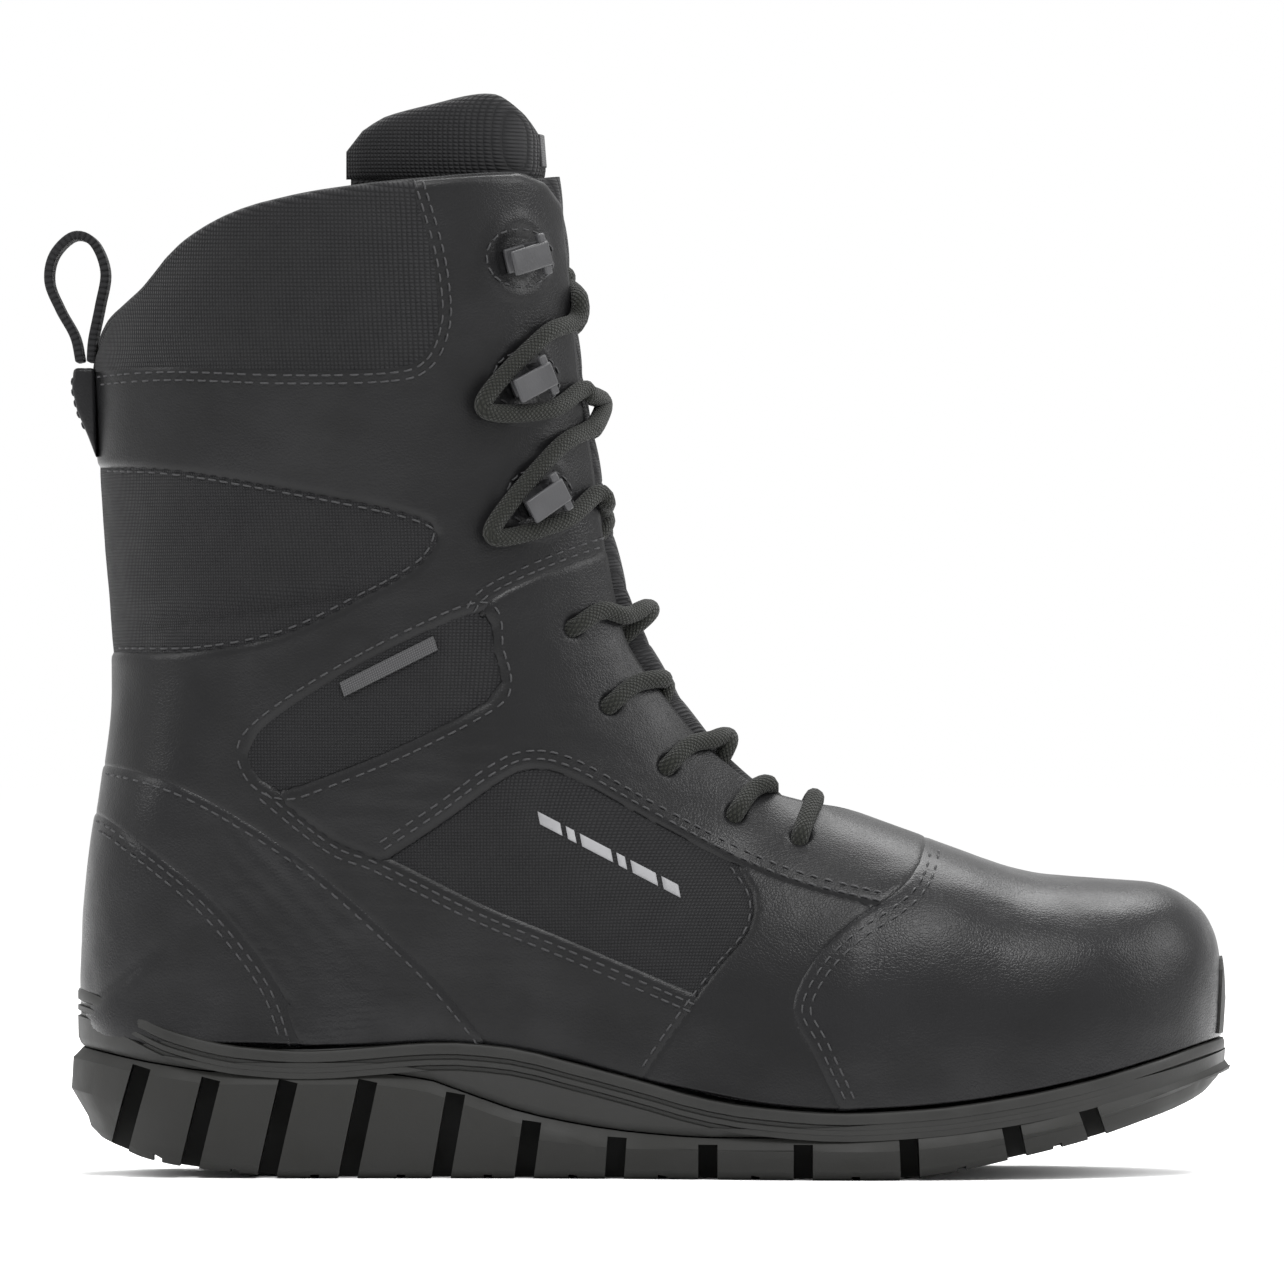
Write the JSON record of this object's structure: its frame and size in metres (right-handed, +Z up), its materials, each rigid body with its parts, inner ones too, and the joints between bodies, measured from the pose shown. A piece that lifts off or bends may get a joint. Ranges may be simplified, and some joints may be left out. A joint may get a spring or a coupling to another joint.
{
  "type": "steel toe work boot",
  "caption": "Black lace-up ankle-high safety boot with a steel toe cap, textile and leather panels, padded collar and tongue, lace hooks, heel pull loop and lugged rubber sole.",
  "frame": {"origin": "middle of the boot's footprint, on the ground", "axes": "+X towards the toe, +Y towards the inner (medial) side of this right boot, +Z up"},
  "size_m": [0.312, 0.1098, 0.2832],
  "materials": {
    "leather": "smooth satin black leather, fine grain",
    "textile": "matt black woven textile",
    "webbing": "ribbed black webbing",
    "lining": "dark spacer-knit lining",
    "lace": "round braided lace",
    "foam": "closed-cell foam",
    "label": "woven tab",
    "rubber": "warm dark grey moulded rubber",
    "hook": "dark moulded nylon",
    "steel": "pressed steel",
    "plate": "woven puncture-resistant plate",
    "board": "fibre board"
  },
  "bodies": {
    "root": {"ankle_mesh_lateral": "textile", "ankle_mesh_medial": "textile", "collar_foam": "foam", "collar_mesh": "textile", "eyestay": "leather", "heel_band": "leather", "heel_counter_cover": "leather", "heel_stiffener": "board", "insole_board": "board", "lace": "lace", "lace_hook_lateral_1": "hook", "lace_hook_lateral_2": "hook", "lace_hook_lateral_3": "hook", "lace_hook_medial_1": "hook", "lace_hook_medial_2": "hook", "lace_hook_medial_3": "hook", "lining": "lining", "midsole": "rubber", "outsole": "rubber", "pull_loop_anchor": "leather", "puncture_plate": "plate", "quarter_lateral": "leather", "quarter_medial": "leather", "quarter_mesh_lateral": "textile", "quarter_mesh_medial": "textile", "shaft_mesh": "textile", "side_panel_lateral": "leather", "side_panel_medial": "leather", "side_tab": "label", "steel_shank": "steel", "steel_toe_cap": "steel", "toe_bumper": "rubber", "toe_vamp": "leather"},
    "tongue": {"tongue": "textile"},
    "tongue_top": {"tongue_top": "textile", "tongue_tab": "label"},
    "footbed": {"footbed": "foam"},
    "pull_loop": {"pull_loop": "webbing"}
  },
  "joints": [
    {"name": "tongue_tilt", "type": "hinge", "parent": "root", "child": "tongue", "pos_m": [0.05, 0, 0.084], "axis": [0, -1, 0], "range_deg": [0, 5]},
    {"name": "tongue_top_fold", "type": "hinge", "parent": "tongue", "child": "tongue_top", "pos_m": [-0.03, 0, 0.262], "axis": [0, 1, 0], "range_deg": [-18, 30], "stiffness_Nm_per_rad": 0.25},
    {"name": "footbed_lift", "type": "hinge", "parent": "root", "child": "footbed", "pos_m": [0.138, 0, 0.035], "axis": [0, 1, 0], "range_deg": [0, 4]},
    {"name": "pull_loop_swing", "type": "hinge", "parent": "root", "child": "pull_loop", "pos_m": [-0.1454, 0, 0.215], "axis": [0, 1, 0], "range_deg": [-60, 0], "stiffness_Nm_per_rad": 0.02}
  ]
}
